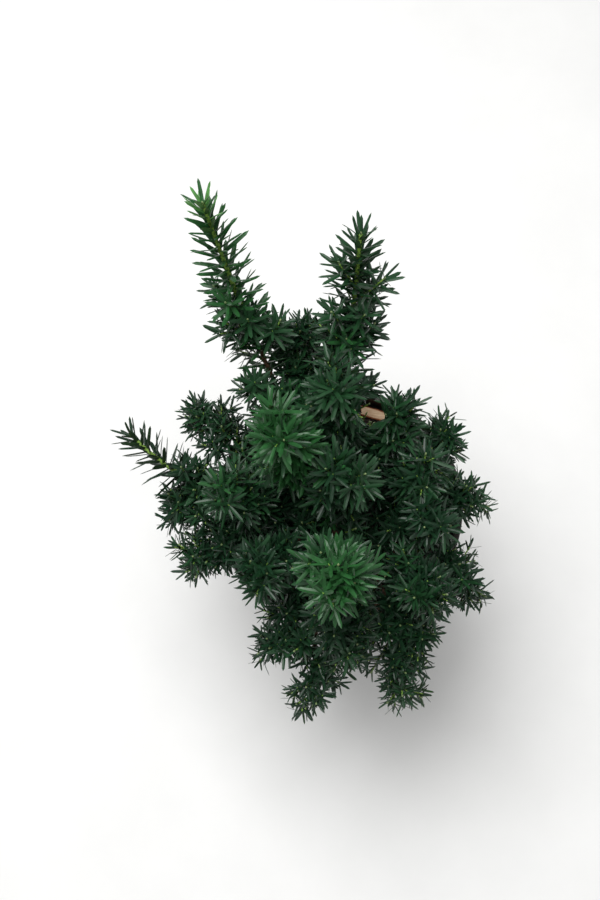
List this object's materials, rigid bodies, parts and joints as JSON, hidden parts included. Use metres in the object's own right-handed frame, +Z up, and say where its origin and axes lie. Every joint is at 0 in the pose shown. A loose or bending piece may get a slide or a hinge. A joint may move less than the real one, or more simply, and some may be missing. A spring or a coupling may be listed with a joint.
{
  "type": "potted dwarf japanese yew",
  "caption": "Young dwarf Japanese yew, a low spreading conifer with upright shoots of dark flat needles, in a round black nursery pot filled with bark mulch.",
  "frame": {"origin": "centre of the pot's flat underside", "axes": "+Z up through the pot and plant; +Y towards the two tall shoots at the back; +X to the right as the plant is seen from its front"},
  "size_m": [0.3272, 0.3891, 0.4619],
  "materials": {
    "black_plastic": "moulded, satin, a little dusty",
    "bark_soil": "rough bark mulch",
    "split_bark": "split bark, pale inside",
    "yew_bark": "flaking red-brown bark",
    "yew_needles": "leathery dark green needles"
  },
  "bodies": {
    "root": {"bark_chip_1": "split_bark", "bark_chip_2": "split_bark", "bark_chip_3": "split_bark", "bough_back_left": "yew_bark", "bough_back_low": "yew_bark", "bough_crown_back": "yew_bark", "bough_crown_front": "yew_bark", "bough_crown_left": "yew_bark", "bough_front_left": "yew_bark", "bough_front_low": "yew_bark", "bough_front_low_left": "yew_bark", "bough_front_middle": "yew_bark", "bough_front_right": "yew_bark", "bough_leader_left": "yew_bark", "bough_leader_right": "yew_bark", "bough_left_back": "yew_bark", "bough_left_front": "yew_bark", "bough_left_long": "yew_bark", "bough_left_low": "yew_bark", "bough_left_low_front": "yew_bark", "bough_left_middle": "yew_bark", "bough_right_back": "yew_bark", "bough_right_edge": "yew_bark", "bough_right_far_back": "yew_bark", "bough_right_front": "yew_bark", "bough_right_high": "yew_bark", "bough_right_low": "yew_bark", "bough_right_middle": "yew_bark", "needles_back_left": "yew_needles", "needles_back_low": "yew_needles", "needles_crown_back": "yew_needles", "needles_crown_front": "yew_needles", "needles_crown_left": "yew_needles", "needles_crown_middle": "yew_needles", "needles_front_left": "yew_needles", "needles_front_low": "yew_needles", "needles_front_low_left": "yew_needles", "needles_front_middle": "yew_needles", "needles_front_right": "yew_needles", "needles_leader_left": "yew_needles", "needles_leader_right": "yew_needles", "needles_left_back": "yew_needles", "needles_left_front": "yew_needles", "needles_left_long": "yew_needles", "needles_left_low": "yew_needles", "needles_left_low_front": "yew_needles", "needles_left_middle": "yew_needles", "needles_right_back": "yew_needles", "needles_right_edge": "yew_needles", "needles_right_far_back": "yew_needles", "needles_right_front": "yew_needles", "needles_right_high": "yew_needles", "needles_right_low": "yew_needles", "needles_right_middle": "yew_needles", "pot": "black_plastic", "soil": "bark_soil", "trunk": "yew_bark"}
  },
  "joints": []
}
